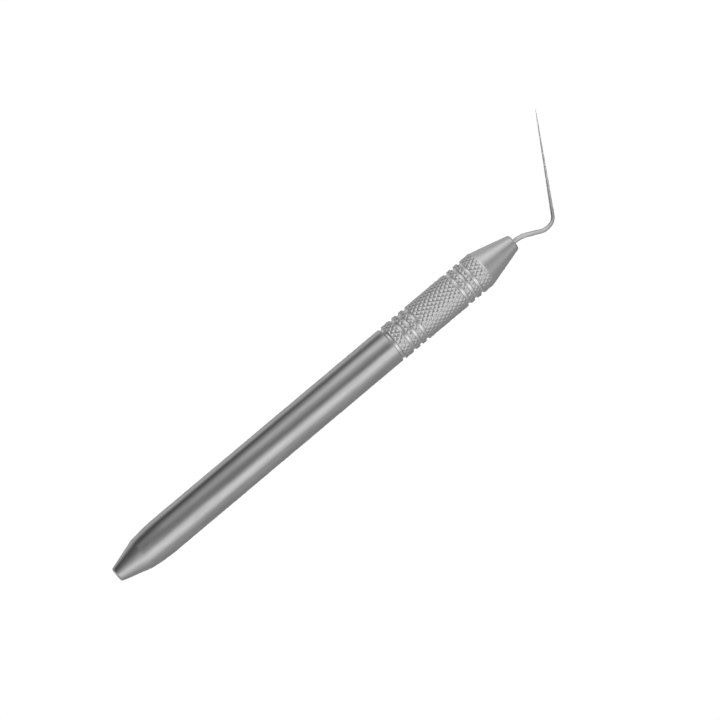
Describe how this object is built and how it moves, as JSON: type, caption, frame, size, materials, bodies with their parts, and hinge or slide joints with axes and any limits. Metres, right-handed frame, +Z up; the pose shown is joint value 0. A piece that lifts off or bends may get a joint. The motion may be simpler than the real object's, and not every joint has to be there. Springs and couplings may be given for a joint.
{
  "type": "dental hand instrument",
  "caption": "Single-ended dental hand instrument: hollow round handle with a tapered butt, grooved knurled grip, nose cone and a thin bent wire ending in a straight needle point.",
  "frame": {"origin": "centre of the butt's flat end face, on the handle's axis", "axes": "+X along the handle from butt to nose, +Y the way the needle bends, +Z up as the instrument lies on a table"},
  "size_m": [0.15, 0.026, 0.0096],
  "materials": {
    "barrel_steel": "satin, brushed along the handle",
    "plug_steel": "turned",
    "grip_steel": "turned and knurled",
    "bush_steel": "turned",
    "tip_steel": "drawn, ground and satin polished"
  },
  "bodies": {
    "root": {"rear_barrel": "barrel_steel", "butt_plug": "plug_steel", "grip_body": "grip_steel", "tip_bush": "bush_steel", "working_tip": "tip_steel"}
  },
  "joints": []
}
